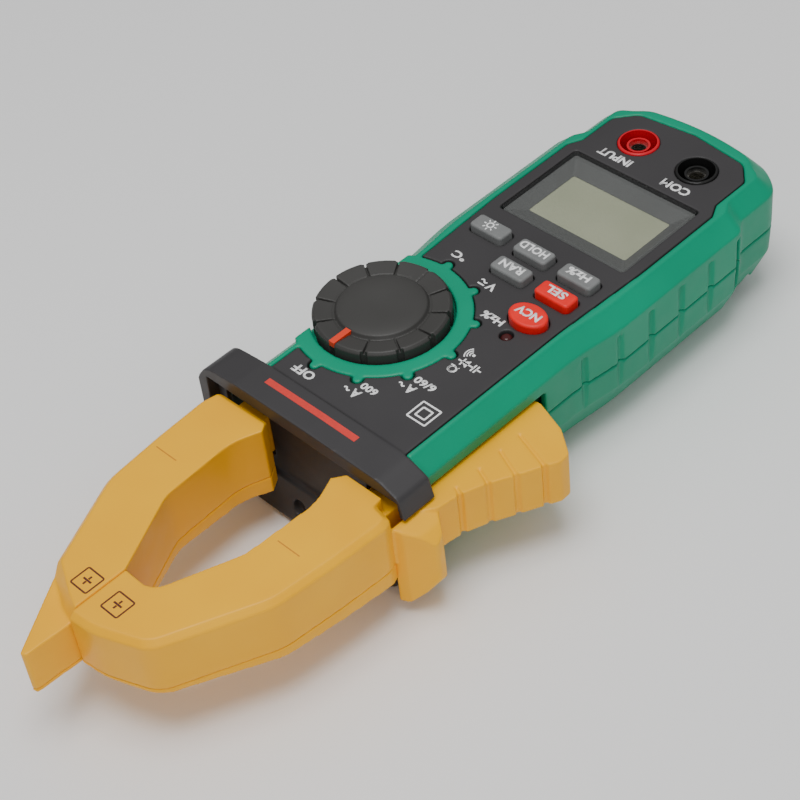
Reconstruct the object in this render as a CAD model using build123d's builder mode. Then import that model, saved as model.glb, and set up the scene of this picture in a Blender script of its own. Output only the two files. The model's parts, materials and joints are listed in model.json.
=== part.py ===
from build123d import *

import math
import os

# Clamp meter, lying on its flat back. Millimetres.
# +Z comes out of the display, +Y points at the jaw tips, +X is the dial side.
# The origin is on the flat back face, on the centre plane of the case.

os.makedirs("parts", exist_ok=True)

# ------------------------------------------------------------ driving dimensions
FACE_Z = 37.0            # display face above the back
PARTING_Z = 22.0         # seam between the front and the rear case
DECK_TOP = 34.0          # deck of the front case, under the face plate
DECK_BOTTOM = 32.0
WALL = 2.0
CASE_FRONT_Y = 65.5      # where the case meets the barrier guard
GUARD_FRONT_Y = 75.3
WALL_FRONT_Y = 72.8      # upright wall under the guard's overhang
CASE_TAIL_Y = -70.6      # jack end

HALF_WAIST = 28.0
HALF_SHOULDER = 30.0
HALF_JACK_END = 27.3

SOCKET_PITCH = 19.05     # 4 mm safety sockets, 3/4 inch apart
SOCKET_Y = -53.2
SOCKET_BORE_R = 2.0
SOCKET_SLEEVE_R = 2.5
SOCKET_SLEEVE_BOTTOM = 14.0
SOCKET_SLEEVE_TOP = 35.0

DIAL_X = 14.9
DIAL_Y = 35.4
KNOB_R = 17.0
KNOB_WELL_R = 17.7
BEZEL_R = 22.0
BEZEL_EDGE_X = 25.4      # the ring is cut off where the side of the case starts to slope
NUB_R = 1.25
NUB_TRACK_R = 22.7
PLATE_GAP = 0.25         # shadow gap round the face plate
ROTOR_R = 10.6
DETENT_COUNT = 12
DETENT_STEP = 360 / DETENT_COUNT
SWITCH_POSITIONS = 7

LENS_X = 40.0
LENS_Y = 28.8
LENS_CENTRE_Y = -26.3
LENS_GAP = 0.4
GLASS_X = 32.6
GLASS_Y = 18.4
GLASS_CENTRE_Y = -26.3

BOARD_BOTTOM = 26.4
BOARD_TOP = 28.0

BUTTON_X = 10.6
BUTTON_Y = 5.0
BUTTON_TOP = 39.0
BUTTON_GAP = 0.35
BUTTON_BOTTOM = 30.4
BUTTONS = {
    "backlight_button": (14.9, -3.0),
    "hold_button": (0.3, -2.7),
    "range_button": (0.3, 5.5),
    "frequency_button": (-14.2, -2.5),
    "select_button": (-14.2, 5.6),
}
VOLTAGE_SENSE_BUTTON = (-14.0, 15.3)
LAMP = (-13.4, 22.4)
LAMP_R = 1.6

PIN_X = 17.0             # jaw pivots, and the pitch radius of their gears
PIN_Y = 56.0
PIN_R = 2.0
RUNNING_GAP = 0.05
GEAR_TEETH = 24
GEAR_BOTTOM = 11.4
GEAR_TOP = 15.6
HUB_R = 6.8
HUB_STEP_R = 5.6
HUB_BOTTOM = 11.0
HUB_TOP = 25.8

JAW_TOP = 33.0
JAW_SPLIT_Z = 17.5       # seam between a jaw and its cover
JAW_ROOT_BOTTOM = 12.7
JAW_TIP_BOTTOM = 16.4
ARM_BEVEL = 1.5
JAW_SPLIT_X = 3.5        # the tips meet beside the centre plane
NECK_TOP = 28.6          # the neck that passes through the guard's front wall
HOOK_TOP = 29.5
CORE_W = 4.4
CORE_BOTTOM = 20.7
CORE_TOP = 27.7
CORE_Z = (CORE_BOTTOM + CORE_TOP) / 2
BOBBIN_LENGTH = 14.0

LEVER_TOP = 28.5
LEVER_BOTTOM = 15.2
SLOT_TOP = 29.2
SLOT_BOTTOM = 14.6
SLOT_REAR_Y = 25.3

BATTERY_R = 5.2
BATTERY_LENGTH = 44.5
BATTERY_PITCH = 10.7
BATTERY_Z = 8.2
BATTERY_CENTRE_Y = -21.5
DOOR_X = 33.4
DOOR_Y = 50.0
DOOR_CENTRE_Y = -21.5

CASE_SCREWS = [(-21.0, -57.0), (21.0, -57.0), (-22.5, 20.0), (22.0, 10.0)]
SCREW_R = 1.35
SCREW_HEAD_R = 2.6


def save(part, name):
    """Label one finished piece and write it to its own file."""
    part.label = name
    export_step(part, f"parts/{name}.step")


# ------------------------------------------------------------ shared profiles
def case_profile(side=1.0, tail=0.0, front_y=CASE_FRONT_Y):
    """Plan outline of the case; side scales its width and tail draws its jack end in."""
    waist = HALF_WAIST * side
    shoulder = HALF_SHOULDER * side
    jack_end = HALF_JACK_END * side
    end_y = CASE_TAIL_Y + tail
    with BuildSketch() as profile:
        with BuildLine():
            Line((0, front_y), (waist, front_y))
            Line((waist, front_y), (waist, 18))
            Spline((waist, 18), (shoulder, -4), tangents=[(0, -1), (0, -1)])
            Line((shoulder, -4), (shoulder, -44))
            Spline((shoulder, -44), (jack_end, -50), tangents=[(0, -1), (0, -1)])
            Line((jack_end, -50), (jack_end, -59.0))
            Spline(
                (jack_end, -59.0),
                (23.4 * side, end_y + 4.6),
                (17 * side, end_y + 1.4),
                tangents=[(0, -1), (-1, -0.18)],
            )
            Spline((17 * side, end_y + 1.4), (0, end_y), tangents=[(-1, -0.18), (-1, 0)])
            mirror(about=Plane.YZ)
        make_face()
    return profile.sketch


def plate_profile(gap=0.0):
    """Plan outline of the face plate behind the guard."""
    half_narrow = 22.2 + gap
    half_wide = 23.6 + gap
    half_jack = 21.6 + gap
    end_y = -64.4 - gap
    with BuildSketch() as profile:
        with BuildLine():
            FilletPolyline(
                (0, CASE_FRONT_Y),
                (half_narrow, CASE_FRONT_Y),
                (half_narrow, 14),
                (half_wide, -14),
                (half_wide, -41.5),
                (half_jack, -45.5),
                (half_jack, -57),
                (17, end_y + 2.0),
                (0, end_y),
                radius=[0.2, 20, 20, 1.5, 1.5, 2.5, 4],
            )
            mirror(about=Plane.YZ)
        make_face()
    return profile.sketch


# ------------------------------------------------------------ front case
def make_front_case():
    bevel_z = 32.6
    cavity_side = (HALF_WAIST - WALL) / HALF_WAIST
    with BuildPart() as case:
        with BuildSketch(Plane.XY.offset(PARTING_Z)):
            add(case_profile())
        extrude(amount=bevel_z - PARTING_Z)
        with BuildSketch(Plane.XY.offset(bevel_z)):
            add(case_profile())
        with BuildSketch(Plane.XY.offset(36.2)):
            add(case_profile(0.865, 2.6))
        loft(ruled=True)
        with BuildSketch(Plane.XY.offset(36.2)):
            add(case_profile(0.865, 2.6))
        with BuildSketch(Plane.XY.offset(FACE_Z)):
            add(case_profile(0.84, 3.4))
        loft(ruled=True)
        # inside, below the deck
        with BuildSketch(Plane.XY.offset(PARTING_Z)):
            add(case_profile(cavity_side, WALL))
        extrude(amount=DECK_BOTTOM - PARTING_Z, mode=Mode.SUBTRACT)
        # recess for the face plate
        with BuildSketch(Plane.XY.offset(DECK_TOP)):
            add(plate_profile(PLATE_GAP))
        extrude(amount=FACE_Z, mode=Mode.SUBTRACT)
        # raised bezel ring of the dial with one nub per switch position
        with BuildSketch(Plane.XY.offset(DECK_TOP)):
            with Locations((DIAL_X, DIAL_Y)):
                Circle(BEZEL_R)
                with PolarLocations(NUB_TRACK_R, SWITCH_POSITIONS, 90, 180, endpoint=True):
                    Circle(NUB_R)
            with Locations((BEZEL_EDGE_X - 40, DIAL_Y)):
                Rectangle(80, 60, mode=Mode.INTERSECT)
        extrude(amount=FACE_Z - DECK_TOP)
        with BuildSketch(Plane.XY.offset(DECK_TOP)):
            with Locations((DIAL_X, DIAL_Y)):
                Circle(KNOB_WELL_R)
        extrude(amount=FACE_Z, mode=Mode.SUBTRACT)
        # openings in the deck: display, buttons, lamp, shaft and sockets
        with BuildSketch(Plane.XY.offset(DECK_BOTTOM)):
            with Locations((0, LENS_CENTRE_Y)):
                Rectangle(LENS_X - 1.6, LENS_Y - 1.6)
            with Locations(*BUTTONS.values()):
                RectangleRounded(
                    BUTTON_X + 2 * BUTTON_GAP, BUTTON_Y + 2 * BUTTON_GAP, 1.4
                )
            with Locations(VOLTAGE_SENSE_BUTTON):
                Ellipse(5.3 + BUTTON_GAP, 3.9 + BUTTON_GAP)
            with Locations(LAMP):
                Circle(LAMP_R + 0.2)
            with Locations((DIAL_X, DIAL_Y)):
                Circle(4.7)
            with Locations((-SOCKET_PITCH / 2, SOCKET_Y), (SOCKET_PITCH / 2, SOCKET_Y)):
                Circle(5.6)
        extrude(amount=DECK_TOP - DECK_BOTTOM, mode=Mode.SUBTRACT)
        # screw bosses and the upper seats of the jaw pins
        with BuildSketch(Plane.XY.offset(PARTING_Z)):
            with Locations(*CASE_SCREWS):
                Circle(3.0)
            add(case_profile(cavity_side + 0.03), mode=Mode.INTERSECT)
        extrude(amount=DECK_BOTTOM - PARTING_Z)
        with BuildSketch(Plane.XY.offset(PARTING_Z)):
            with Locations(*CASE_SCREWS):
                Circle(SCREW_R + RUNNING_GAP)
        extrude(amount=8, mode=Mode.SUBTRACT)
        with BuildSketch(Plane.XY.offset(29.3)):
            with Locations((-PIN_X, PIN_Y), (PIN_X, PIN_Y)):
                Circle(4.0)
                Circle(PIN_R + 0.02, mode=Mode.SUBTRACT)
        extrude(amount=DECK_BOTTOM - 29.3)
        # slot for the trigger lever in the side wall
        with BuildSketch(Plane.XY.offset(PARTING_Z)):
            with Locations((-30, (SLOT_REAR_Y + 80) / 2)):
                Rectangle(14, 80 - SLOT_REAR_Y)
        extrude(amount=SLOT_TOP - PARTING_Z, mode=Mode.SUBTRACT)
        # grip grooves down both sides
        with BuildSketch(Plane.XY.offset(PARTING_Z)):
            grip_grooves()
        extrude(amount=8.8, mode=Mode.SUBTRACT)
    save(case.part, "front_case")


GROOVE_YS = [-45.0, -33.6, -22.2, -10.8, 0.6, 12.0]


def grip_grooves():
    """Grooves between the grip pads, on the current sketch."""
    for y in GROOVE_YS:
        reach = HALF_SHOULDER if y < 5 else HALF_WAIST + 0.5
        reach = 28.6 if y < -44 else reach
        for side in (-1, 1):
            with Locations((side * (reach + 2.2), y)):
                SlotCenterToCenter(4.0, 2.2)


# ------------------------------------------------------------ rear case
def make_rear_case():
    cavity_side = (HALF_WAIST - WALL) / HALF_WAIST
    with BuildPart() as case:
        with BuildSketch(Plane.XY):
            add(case_profile(0.66, 6.0))
        with BuildSketch(Plane.XY.offset(5)):
            add(case_profile(0.84, 2.4))
        loft(ruled=True)
        with BuildSketch(Plane.XY.offset(5)):
            add(case_profile(0.84, 2.4))
        with BuildSketch(Plane.XY.offset(14)):
            add(case_profile(0.985, 0.3))
        loft(ruled=True)
        with BuildSketch(Plane.XY.offset(14)):
            add(case_profile(0.985, 0.3))
        with BuildSketch(Plane.XY.offset(PARTING_Z)):
            add(case_profile())
        loft(ruled=True)
        # inside
        with BuildSketch(Plane.XY.offset(WALL)):
            add(case_profile(0.64, 6.8))
        with BuildSketch(Plane.XY.offset(6.2)):
            add(case_profile(0.775, 4.2))
        loft(ruled=True, mode=Mode.SUBTRACT)
        with BuildSketch(Plane.XY.offset(6.2)):
            add(case_profile(0.775, 4.2))
        with BuildSketch(Plane.XY.offset(14)):
            add(case_profile(0.91, 2.3))
        loft(ruled=True, mode=Mode.SUBTRACT)
        with BuildSketch(Plane.XY.offset(14)):
            add(case_profile(0.91, 2.3))
        with BuildSketch(Plane.XY.offset(PARTING_Z)):
            add(case_profile(cavity_side, WALL))
        loft(ruled=True, mode=Mode.SUBTRACT)
        # battery door opening
        with BuildSketch(Plane.XY):
            with Locations((0, DOOR_CENTRE_Y)):
                Rectangle(DOOR_X, DOOR_Y)
        extrude(amount=WALL, mode=Mode.SUBTRACT)
        # walls of the battery bay
        with BuildSketch(Plane.XY.offset(WALL)):
            with Locations((0, DOOR_CENTRE_Y + DOOR_Y / 2 + 0.7), (0, DOOR_CENTRE_Y - DOOR_Y / 2 - 0.3)):
                Rectangle(30, 0.8)
        extrude(amount=12)
        # screw bosses, and the lower seats of the jaw pins
        with BuildSketch(Plane.XY.offset(1.0)):
            with Locations(*CASE_SCREWS):
                Circle(3.4)
            with Locations((-PIN_X, PIN_Y), (PIN_X, PIN_Y)):
                Circle(4.2)
            add(case_profile(0.68, 5.6), mode=Mode.INTERSECT)
        extrude(amount=5.0)
        with BuildSketch(Plane.XY.offset(5.0)):
            with Locations((-PIN_X, PIN_Y), (PIN_X, PIN_Y)):
                Circle(4.2)
            add(case_profile(0.83, 2.6), mode=Mode.INTERSECT)
        extrude(amount=5.8)
        with BuildSketch(Plane.XY.offset(5.0)):
            with Locations(*CASE_SCREWS):
                Circle(3.4)
            add(case_profile(0.83, 2.6), mode=Mode.INTERSECT)
        extrude(amount=PARTING_Z - 5.0)
        for x, y in CASE_SCREWS:
            with Locations((x, y, PARTING_Z)):
                Hole(SCREW_R + 0.25, depth=PARTING_Z + 1)
            with Locations((x, y, 9.0)):
                Hole(SCREW_HEAD_R + 0.2, depth=10)
        with Locations((-PIN_X, PIN_Y, 10.8), (PIN_X, PIN_Y, 10.8)):
            Hole(PIN_R + 0.02, depth=7.8)
        # seat of the trigger's return spring
        with BuildSketch(Plane.XY.offset(1.0)):
            with Locations((-13.4, 40)):
                Rectangle(1.6, 9)
        extrude(amount=22.5)
        # slot for the trigger lever in the side wall
        with BuildSketch(Plane.XY.offset(SLOT_BOTTOM)):
            with Locations((-30, (SLOT_REAR_Y + 80) / 2)):
                Rectangle(14, 80 - SLOT_REAR_Y)
        extrude(amount=PARTING_Z, mode=Mode.SUBTRACT)
        with BuildSketch(Plane.XY.offset(12.0)):
            grip_grooves()
        extrude(amount=PARTING_Z, mode=Mode.SUBTRACT)
        # reveal line under the front case
        with BuildSketch(Plane.XY.offset(PARTING_Z - 0.5)):
            Rectangle(80, 150)
            add(case_profile(0.978, 0.6), mode=Mode.SUBTRACT)
        extrude(amount=1, mode=Mode.SUBTRACT)
    save(case.part, "rear_case")


# ------------------------------------------------------------ face plate with the guard
def make_face_plate():
    with BuildPart() as plate:
        with BuildSketch(Plane.XY.offset(DECK_TOP)):
            add(plate_profile())
        extrude(amount=FACE_Z - DECK_TOP)
        # upper half of the barrier guard, drawn from the front
        with BuildSketch(Plane.XZ.offset(-GUARD_FRONT_Y)):
            with BuildLine():
                FilletPolyline(
                    (38.6, PARTING_Z + 0.1),
                    (38.6, 31.5),
                    (34.8, 36.6),
                    (24.0, 37.6),
                    (0, 37.7),
                    (-23.6, 37.2),
                    (-29.6, 34.8),
                    (-31.0, 29.3),
                    radius=[5, 6, 0, 0, 8, 2],
                )
                Polyline(
                    (-31.0, 29.3),
                    (-29.3, 29.3),
                    (-28.9, 33.5),
                    (34.9, 33.5),
                    (35.3, PARTING_Z + 0.1),
                    (38.6, PARTING_Z + 0.1),
                )
            make_face()
        extrude(amount=GUARD_FRONT_Y - CASE_FRONT_Y)
        # openings
        with BuildSketch(Plane.XY.offset(DECK_TOP)):
            with Locations((0, LENS_CENTRE_Y)):
                RectangleRounded(LENS_X + 2 * LENS_GAP, LENS_Y + 2 * LENS_GAP, 1.2)
            with Locations(*BUTTONS.values()):
                RectangleRounded(
                    BUTTON_X + 2 * BUTTON_GAP, BUTTON_Y + 2 * BUTTON_GAP, 1.4
                )
            with Locations(VOLTAGE_SENSE_BUTTON):
                Ellipse(5.3 + BUTTON_GAP, 3.9 + BUTTON_GAP)
            with Locations(LAMP):
                Circle(LAMP_R + 0.2)
            with Locations((DIAL_X, DIAL_Y)):
                Circle(BEZEL_R + PLATE_GAP)
                with PolarLocations(NUB_TRACK_R, SWITCH_POSITIONS, 90, 180, endpoint=True):
                    Circle(NUB_R + 2 * PLATE_GAP)
            with Locations((-SOCKET_PITCH / 2, SOCKET_Y), (SOCKET_PITCH / 2, SOCKET_Y)):
                Circle(5.6)
        extrude(amount=10, mode=Mode.SUBTRACT)
    save(plate.part, "face_plate")


def make_lower_guard():
    """Lower half of the barrier guard, with the wall that the jaw necks pass through."""
    ledge_z = 12.2
    toe_y = 76.6
    with BuildPart() as guard:
        with BuildSketch(Plane.XZ.offset(-toe_y)):
            with BuildLine():
                FilletPolyline(
                    (38.6, PARTING_Z),
                    (38.0, 14.0),
                    (31.0, 5.0),
                    (22.0, 1.5),
                    (-22.0, 1.5),
                    (-26.5, 4.0),
                    (-28.7, ledge_z),
                    radius=[6, 8, 4, 4, 5],
                )
                Polyline(
                    (-28.7, ledge_z),
                    (35.2, ledge_z),
                    (35.3, PARTING_Z),
                    (38.6, PARTING_Z),
                )
            make_face()
        extrude(amount=toe_y - CASE_FRONT_Y)
        # the front slopes back from the toe to the ledge, and the skirt ends with the upper half
        with BuildSketch(Plane.YZ.offset(-45)):
            with BuildLine():
                Polyline(
                    (toe_y, 2.4),
                    (74.2, ledge_z),
                    (74.2, 40),
                    (90, 40),
                    (90, 2.4),
                    close=True,
                )
            make_face()
        extrude(amount=90, mode=Mode.SUBTRACT)
        # hollow behind the front
        with BuildSketch(Plane.XZ.offset(-72.6)):
            with Locations((0, 8.4)):
                Rectangle(48, 7.7)
        extrude(amount=20, mode=Mode.SUBTRACT)
        # upright wall with a window for each jaw neck
        with BuildSketch(Plane.XZ.offset(-WALL_FRONT_Y)):
            with Locations((3.15, (ledge_z + 33.3) / 2)):
                Rectangle(63.1, 33.3 - ledge_z)
            with Locations((24.1, 22.9)):
                Rectangle(15.0, 12.8, mode=Mode.SUBTRACT)
            with Locations((-25.95, 22.9)):
                Rectangle(18.7, 12.8, mode=Mode.SUBTRACT)
        extrude(amount=1.5)
        with BuildSketch(Plane.XZ.offset(-toe_y)):
            with Locations((7.2, 6.6)):
                Circle(2.2)
        extrude(amount=3.0, mode=Mode.SUBTRACT)
    save(guard.part, "lower_guard")


# ------------------------------------------------------------ display stack
def make_display():
    with BuildPart() as lens:
        with BuildSketch(Plane.XY.offset(35.9)):
            with Locations((0, LENS_CENTRE_Y)):
                RectangleRounded(LENS_X - 0.2, LENS_Y - 0.2, 0.9)
        extrude(amount=1.0)
    save(lens.part, "display_lens")

    with BuildPart() as frame:
        with BuildSketch(Plane.XY.offset(34.3)):
            with Locations((0, LENS_CENTRE_Y)):
                RectangleRounded(LENS_X - 0.4, LENS_Y - 0.4, 0.9)
        extrude(amount=1.5)
        with BuildSketch(Plane.XY.offset(34.3)):
            with Locations((0, GLASS_CENTRE_Y)):
                RectangleRounded(GLASS_X - 1.0, GLASS_Y - 1.0, 0.6)
        with BuildSketch(Plane.XY.offset(35.8)):
            with Locations((0, LENS_CENTRE_Y)):
                RectangleRounded(LENS_X - 2.4, LENS_Y - 2.6, 0.6)
        loft(ruled=True, mode=Mode.SUBTRACT)
    save(frame.part, "display_frame")

    with BuildPart() as panel:
        with BuildSketch(Plane.XY.offset(32.7)):
            with Locations((0, GLASS_CENTRE_Y)):
                Rectangle(GLASS_X + 3, GLASS_Y + 4.6)
        extrude(amount=1.5)
    save(panel.part, "display_glass")

    with BuildPart() as backlight:
        with BuildSketch(Plane.XY.offset(30.4)):
            with Locations((0, GLASS_CENTRE_Y)):
                Rectangle(GLASS_X, GLASS_Y)
        extrude(amount=2.2)
    save(backlight.part, "backlight_diffuser")

    with BuildPart() as strip:
        with BuildSketch(Plane.XY.offset(BOARD_TOP)):
            with Locations((0, GLASS_CENTRE_Y + GLASS_Y / 2 + 1.2)):
                Rectangle(GLASS_X, 1.6)
        extrude(amount=4.6)
    save(strip.part, "display_connector_strip")


# ------------------------------------------------------------ circuit board and what it carries
def make_board():
    with BuildPart() as board:
        with BuildSketch(Plane.XY.offset(BOARD_BOTTOM)):
            with Locations((0, -21)):
                Rectangle(36, 82)
            with Locations((5.0, 33.5)):
                Rectangle(36, 28)
            with Locations((-13.4, 22)):
                Rectangle(5, 6)
            with Locations((DIAL_X, DIAL_Y)):
                Circle(4.8, mode=Mode.SUBTRACT)
            with Locations((-SOCKET_PITCH / 2, SOCKET_Y), (SOCKET_PITCH / 2, SOCKET_Y)):
                Circle(5.6, mode=Mode.SUBTRACT)
        extrude(amount=BOARD_TOP - BOARD_BOTTOM)
    save(board.part, "main_board")

    with BuildPart() as chips:
        with BuildSketch(Plane.XY.offset(BOARD_BOTTOM - 1.6)):
            with Locations((0, -26)):
                Rectangle(12, 12)
            with Locations((9, -5), (-9, -8)):
                Rectangle(5, 6)
        extrude(amount=1.5)
    save(chips.part, "board_chips")

    with BuildPart() as thermistor:
        with BuildSketch(Plane.XZ.offset(42.0)):
            with Locations((9.5, 22.6)):
                Circle(3.6)
        extrude(amount=2.4)
    save(thermistor.part, "input_thermistor")

    with BuildPart() as buzzer:
        with BuildSketch(Plane.XY.offset(20.2)):
            with Locations((6, 10)):
                Circle(7.0)
        extrude(amount=6.1)
        with BuildSketch(Plane.XY.offset(20.2)):
            with Locations((6, 10)):
                Circle(1.2)
        extrude(amount=1.5, mode=Mode.SUBTRACT)
        fillet(buzzer.edges().filter_by(GeomType.CIRCLE).sort_by(Axis.Z)[0], 0.6)
    save(buzzer.part, "buzzer")

    with BuildPart() as lamp:
        with BuildSketch(Plane.XY.offset(BOARD_TOP)):
            with Locations(LAMP):
                Circle(LAMP_R)
        extrude(amount=36.7 - BOARD_TOP)
        fillet(lamp.edges().filter_by(GeomType.CIRCLE).sort_by(Axis.Z)[-1], 1.2)
    save(lamp.part, "voltage_lamp")


# ------------------------------------------------------------ input sockets
def make_socket(name, x):
    with BuildPart() as shell:
        with BuildSketch(Plane.XY.offset(12.5)):
            with Locations((x, SOCKET_Y)):
                Circle(5.5)
        extrude(amount=37.3 - 12.5)
        fillet(shell.edges().filter_by(GeomType.CIRCLE).sort_by(Axis.Z)[-1], 0.5)
        with BuildSketch(Plane.XY.offset(SOCKET_SLEEVE_BOTTOM)):
            with Locations((x, SOCKET_Y)):
                Circle(4.8)
                Circle(3.1, mode=Mode.SUBTRACT)
        extrude(amount=30, mode=Mode.SUBTRACT)
        with BuildSketch(Plane.XY.offset(36.2)):
            with Locations((x, SOCKET_Y)):
                Circle(4.0)
        extrude(amount=5, mode=Mode.SUBTRACT)
        with BuildSketch(Plane.XY.offset(SOCKET_SLEEVE_BOTTOM)):
            with Locations((x, SOCKET_Y)):
                Circle(SOCKET_SLEEVE_R + 0.02)
        extrude(amount=30, mode=Mode.SUBTRACT)
    save(shell.part, f"{name}_socket")

    with BuildPart() as sleeve:
        with BuildSketch(Plane.XY.offset(SOCKET_SLEEVE_BOTTOM)):
            with Locations((x, SOCKET_Y)):
                Circle(SOCKET_SLEEVE_R)
                Circle(SOCKET_BORE_R, mode=Mode.SUBTRACT)
        extrude(amount=SOCKET_SLEEVE_TOP - SOCKET_SLEEVE_BOTTOM)
    save(sleeve.part, f"{name}_socket_sleeve")


# ------------------------------------------------------------ buttons and keypad
def make_button(name, centre):
    with BuildPart() as button:
        with BuildSketch(Plane.XY.offset(BUTTON_BOTTOM + 1.2)):
            with Locations(centre):
                RectangleRounded(BUTTON_X, BUTTON_Y, 1.1)
        extrude(amount=BUTTON_TOP - BUTTON_BOTTOM - 1.2)
        fillet(button.edges().group_by(Axis.Z)[-1], 0.7)
        with BuildSketch(Plane.XY.offset(BUTTON_BOTTOM)):
            with Locations(centre):
                RectangleRounded(BUTTON_X + 1.8, BUTTON_Y + 1.8, 1.1)
        extrude(amount=1.3)
    save(button.part, name)


def make_voltage_sense_button():
    with BuildPart() as button:
        with BuildSketch(Plane.XY.offset(BUTTON_BOTTOM + 1.2)):
            with Locations(VOLTAGE_SENSE_BUTTON):
                Ellipse(5.3, 3.9)
        extrude(amount=BUTTON_TOP - BUTTON_BOTTOM - 1.2)
        fillet(button.edges().group_by(Axis.Z)[-1], 0.7)
        with BuildSketch(Plane.XY.offset(BUTTON_BOTTOM)):
            with Locations(VOLTAGE_SENSE_BUTTON):
                Ellipse(5.9, 4.5)
        extrude(amount=1.3)
    save(button.part, "voltage_sense_button")


def make_keypad():
    dome_points = list(BUTTONS.values()) + [VOLTAGE_SENSE_BUTTON]
    with BuildPart() as keypad:
        with BuildSketch(Plane.XY.offset(BOARD_TOP)):
            with Locations((0, 6.5)):
                Rectangle(36, 26)
            with Locations((0.3, 16.5)):
                Rectangle(18, 8, mode=Mode.SUBTRACT)
            with Locations((DIAL_X, DIAL_Y)):
                Circle(BEZEL_R - 8, mode=Mode.SUBTRACT)
        extrude(amount=0.8)
        for point in dome_points:
            with BuildSketch(Plane.XY.offset(BOARD_TOP + 0.8)):
                with Locations(point):
                    Circle(2.4)
            extrude(amount=0.7, taper=35)
    save(keypad.part, "keypad_membrane")


# ------------------------------------------------------------ function switch
def make_switch():
    groove_r = 11.6
    with BuildPart() as knob:
        with BuildSketch(Plane.XZ.offset(-DIAL_Y)):
            with BuildLine():
                Polyline(
                    (DIAL_X, 34.4),
                    (DIAL_X + KNOB_R - 0.3, 34.4),
                    (DIAL_X + KNOB_R, 34.9),
                    (DIAL_X + KNOB_R, 38.9),
                    (DIAL_X + KNOB_R - 0.7, 39.6),
                    (DIAL_X + groove_r + 0.6, 39.0),
                    (DIAL_X + groove_r, 38.7),
                    (DIAL_X + groove_r - 0.6, 39.7),
                )
                Spline(
                    (DIAL_X + groove_r - 0.6, 39.7),
                    (DIAL_X, 40.1),
                    tangents=[(-1, 0.35), (-1, 0)],
                )
                Line((DIAL_X, 40.1), (DIAL_X, 34.4))
            make_face()
        revolve(axis=Axis((DIAL_X, DIAL_Y, 0), (0, 0, 1)))
        # twelve finger segments: a fine radial groove and a rim notch between each pair
        with BuildSketch(Plane.XY.offset(38.3)):
            with Locations((DIAL_X, DIAL_Y)):
                with PolarLocations((groove_r + KNOB_R) / 2, DETENT_COUNT):
                    Rectangle(KNOB_R - groove_r, 0.5)
        extrude(amount=3, mode=Mode.SUBTRACT)
        with BuildSketch(Plane.XY.offset(34.0)):
            with Locations((DIAL_X, DIAL_Y)):
                with PolarLocations(KNOB_R + 0.2, DETENT_COUNT):
                    Rectangle(2.0, 1.7)
        extrude(amount=8, mode=Mode.SUBTRACT)
        # slot for the pointer
        with BuildSketch(Plane.XY.offset(38.2)):
            with Locations((DIAL_X, DIAL_Y + 13.9)):
                Rectangle(1.8, 5.9)
        extrude(amount=3, mode=Mode.SUBTRACT)
        # shaft down to the rotor
        with BuildSketch(Plane.XY.offset(31.4)):
            with Locations((DIAL_X, DIAL_Y)):
                Circle(4.6)
        extrude(amount=3.2)
    save(knob.part, "dial_knob")

    with BuildPart() as pointer:
        with BuildSketch(Plane.XY.offset(38.2)):
            with Locations((DIAL_X, DIAL_Y + 13.9)):
                Rectangle(1.7, 5.8)
        extrude(amount=1.5)
    save(pointer.part, "dial_pointer")

    with BuildPart() as rotor:
        with BuildSketch(Plane.XY.offset(29.4)):
            with Locations((DIAL_X, DIAL_Y)):
                Circle(ROTOR_R)
        extrude(amount=2.0)
        with BuildSketch(Plane.XY.offset(29.4)):
            with Locations((DIAL_X, DIAL_Y)):
                with PolarLocations(7.6, 3, 30):
                    Rectangle(4.4, 1.5)
        extrude(amount=1.0, mode=Mode.SUBTRACT)
    save(rotor.part, "switch_rotor")

    with BuildPart() as wipers:
        with BuildSketch(Plane.XY.offset(28.1)):
            with Locations((DIAL_X, DIAL_Y)):
                with PolarLocations(7.6, 3, 30):
                    Rectangle(4.2, 1.3)
        extrude(amount=2.2)
        with BuildSketch(Plane.XY.offset(28.1)):
            with Locations((DIAL_X, DIAL_Y)):
                with PolarLocations(7.6, 3, 30):
                    Rectangle(2.6, 1.3)
        extrude(amount=0.9, mode=Mode.SUBTRACT)
    save(wipers.part, "switch_wipers")


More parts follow.
